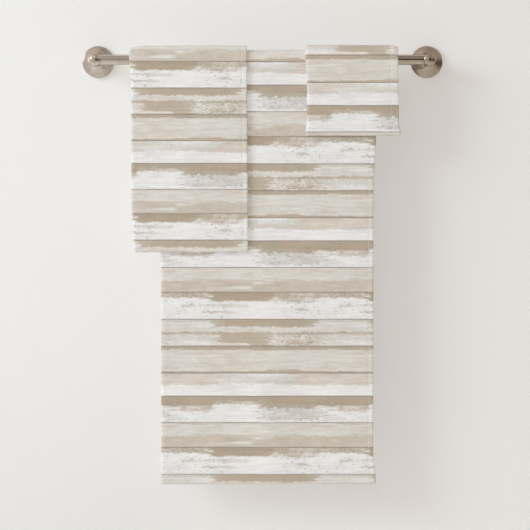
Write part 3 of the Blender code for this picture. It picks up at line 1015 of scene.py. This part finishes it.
def make_world():
    """A pale room: brighter to the left, with a window, a dimmer ceiling, and a dark doorway and
    horizon behind the camera to the right."""
    world = bpy.data.worlds.new("room")
    bpy.context.scene.world = world
    world.use_nodes = True
    graph = Graph(world.node_tree)
    way = graph.node("ShaderNodeTexCoord").outputs["Generated"]
    parts = graph.node("ShaderNodeSeparateXYZ")
    graph.put(parts.inputs[0], way)
    side, height = parts.outputs[0], parts.outputs[2]
    off_level = graph.math("ABSOLUTE", height)

    level = graph.remap(side, -0.9, 0.9, 1.20, 0.80)
    level = graph.math("MULTIPLY", level, graph.remap(off_level, 0.72, 0.95, 1.0, 0.45))
    doorway = graph.remap(graph.math("ABSOLUTE", graph.math("SUBTRACT", side, 0.14)), 0.30, 0.06)
    doorway = graph.math("MULTIPLY", doorway, graph.remap(off_level, 0.80, 0.40, 0.0, 0.62))
    level = graph.math("MULTIPLY", level, graph.math("SUBTRACT", 1.0, doorway))
    horizon = graph.remap(off_level, 0.28, 0.08)
    horizon = graph.math("MULTIPLY", horizon, graph.remap(side, -0.25, 0.10, 0.20, 0.72))
    level = graph.math("MULTIPLY", level, graph.math("SUBTRACT", 1.0, horizon))

    towards = graph.node("ShaderNodeVectorMath", operation="DOT_PRODUCT")
    graph.put(towards.inputs[0], way)
    graph.put(towards.inputs[1], WINDOW_WAY)
    window = graph.remap(towards.outputs["Value"], 0.955, 0.985)
    level = graph.math("MULTIPLY_ADD", window, WINDOW_GLOW, level)

    room = graph.node("ShaderNodeBackground")
    graph.put(room.inputs["Color"], graph.mix(window, WORLD_COLOR, WINDOW_COLOR))
    graph.put(room.inputs["Strength"], graph.math("MULTIPLY", level, WORLD_POWER))
    backdrop = graph.node("ShaderNodeBackground")
    graph.put(backdrop.inputs["Color"], BACKDROP_COLOR)
    seen = graph.node("ShaderNodeMixShader")
    graph.put(seen.inputs[0], graph.node("ShaderNodeLightPath").outputs["Is Camera Ray"])
    graph.put(seen.inputs[1], room.outputs[0])
    graph.put(seen.inputs[2], backdrop.outputs[0])
    output = graph.node("ShaderNodeOutputWorld")
    graph.put(output.inputs["Surface"], seen.outputs[0])


CAMERA_AIM = Vector((0.0047, BAR_Y - 0.0165, -0.3638))
CAMERA_DISTANCE = 4.10
CAMERA_TILT = math.radians(1.6)
FOCAL_LENGTH = 157.2


def make_camera():
    """A long lens that looks squarely at the wall from a little above the towels' middle."""
    back = Vector((0.0, -math.cos(CAMERA_TILT), math.sin(CAMERA_TILT)))
    data = bpy.data.cameras.new("camera")
    data.lens = FOCAL_LENGTH
    data.sensor_width = 36.0
    camera = bpy.data.objects.new("camera", data)
    bpy.context.scene.collection.objects.link(camera)
    camera.location = CAMERA_AIM + CAMERA_DISTANCE * back
    camera.rotation_mode = "QUATERNION"
    camera.rotation_quaternion = back.to_track_quat("Z", "Y")
    bpy.context.scene.camera = camera


# ---------------------------------------------------------------- putting it together

FRONT_BODY = {"hand_towel": "hand_towel_front", "washcloth": "washcloth_front"}
SHARP_DEGREES = 38.0
MERGE_DISTANCE = 0.000002
NICKEL_DARK, NICKEL_LIGHT = linear(223, 216, 206), linear(241, 234, 224)
NICKEL_EDGE = linear(92, 84, 75)
NICKEL_GRAIN = (40.0, 1500.0, 1500.0)
ZINC_DARK, ZINC_LIGHT = linear(168, 170, 174), linear(196, 198, 202)
STEEL_DARK, STEEL_LIGHT = linear(150, 150, 152), linear(186, 186, 188)


def towel_nodes(name):
    """Every CAD node of the towel but its label."""
    nodes = [name + "_saddle"] + [name + "_" + part for part in FRONT_NODES + BACK_NODES]
    if name in FRONT_BODY:
        nodes.append(name + "_front_top")
    return nodes


def follow(piece, name):
    """The bath towel's piece moves with its towel's body; an upper towel's piece only has its place baked
    into its mesh.
    """
    if name not in FRONT_BODY:
        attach(piece, name)
        return
    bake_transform(piece)


def make_smoother():
    """A modifier group that joins a CAD node's triangles and shades it smooth but for its edges."""
    group = bpy.data.node_groups.new("shade_smooth_by_angle", "GeometryNodeTree")
    group.interface.new_socket("Geometry", in_out="INPUT", socket_type="NodeSocketGeometry")
    group.interface.new_socket("Geometry", in_out="OUTPUT", socket_type="NodeSocketGeometry")
    graph = Graph(group)
    geometry = graph.node("NodeGroupInput").outputs[0]
    joined = graph.node("GeometryNodeMergeByDistance")
    graph.put(joined.inputs["Geometry"], geometry)
    graph.put(joined.inputs["Distance"], MERGE_DISTANCE)
    plain = graph.node("GeometryNodeRemoveAttribute")
    graph.put(plain.inputs["Geometry"], joined.outputs[0])
    graph.put(plain.inputs["Name"], "custom_normal")
    soft = graph.node("GeometryNodeSetShadeSmooth", domain="FACE")
    graph.put(soft.inputs["Geometry"], plain.outputs[0])
    graph.put(soft.inputs["Shade Smooth"], True)
    angle = graph.node("GeometryNodeInputMeshEdgeAngle").outputs["Unsigned Angle"]
    steep = graph.node("FunctionNodeCompare", data_type="FLOAT", operation="GREATER_THAN")
    graph.put(steep.inputs[0], angle)
    graph.put(steep.inputs[1], math.radians(SHARP_DEGREES))
    crisp = graph.node("GeometryNodeSetShadeSmooth", domain="EDGE")
    graph.put(crisp.inputs["Geometry"], soft.outputs[0])
    graph.put(crisp.inputs["Selection"], steep.outputs[0])
    graph.put(crisp.inputs["Shade Smooth"], False)
    graph.put(graph.node("NodeGroupOutput").inputs[0], crisp.outputs[0])
    return group


def make_nickel(name, left_change, right_change):
    """Nickel whose gloss changes by these amounts of roughness at the rail's ends, with painted shade
    darkening its colour towards the right end.
    """
    across = (CAD_BOX[0].x, left_change, right_change)
    return make_metal(name, NICKEL_DARK, NICKEL_LIGHT, 0.17, NICKEL_GRAIN, 0.00003, across, NICKEL_EDGE)


def dress_rail():
    """Gives every CAD node of the rail its material and a smooth shading."""
    smoother = make_smoother()
    nickel = make_nickel("brushed_nickel", 0.02, -0.04)
    bar_nickel = make_nickel("bar_nickel", 0.16, -0.07)
    zinc = make_metal("zinc_plate", ZINC_DARK, ZINC_LIGHT, 0.42, (300.0, 300.0, 300.0), 0.0001)
    steel = make_metal("screw_steel", STEEL_DARK, STEEL_LIGHT, 0.30, (900.0, 900.0, 900.0), 0.00004)
    plastic = make_plastic()
    finishes = (
        ("wall_anchor", plastic, "anchor_plastic"),
        ("bracket_screw", steel, "screw_steel"),
        ("set_screw", steel, "screw_steel"),
        ("bracket", zinc, "zinc"),
        ("post", nickel, "brushed_nickel"),
        ("bar_tube", bar_nickel, "brushed_nickel"),
    )
    for node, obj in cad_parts.items():
        for part, material, slot in finishes:
            if part in node:
                obj.data.materials.clear()
                obj.data.materials.append(material)
                obj.modifiers.new("smooth", "NODES").node_group = smoother
                break


def main():
    bpy.context.scene.view_settings.view_transform = "Standard"
    make_camera()
    dress_rail()
    printed = make_printed_terry(make_print_group())
    white = make_white_terry()
    thread = make_thread()
    satin = make_label_cloth()
    for name in FLAT:
        towel = Towel(name)
        cloth = towel.build_cloth([printed, white])
        label, label_rows = towel.build_label(satin)
        stitching = towel.build_stitching(thread, label_rows)
        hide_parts(*towel_nodes(name))
        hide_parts(name + "_care_label")
        follow(cloth, name)
        follow(stitching, name)
        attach(label, name)
    make_stage()
    make_lights()
    make_world()


main()
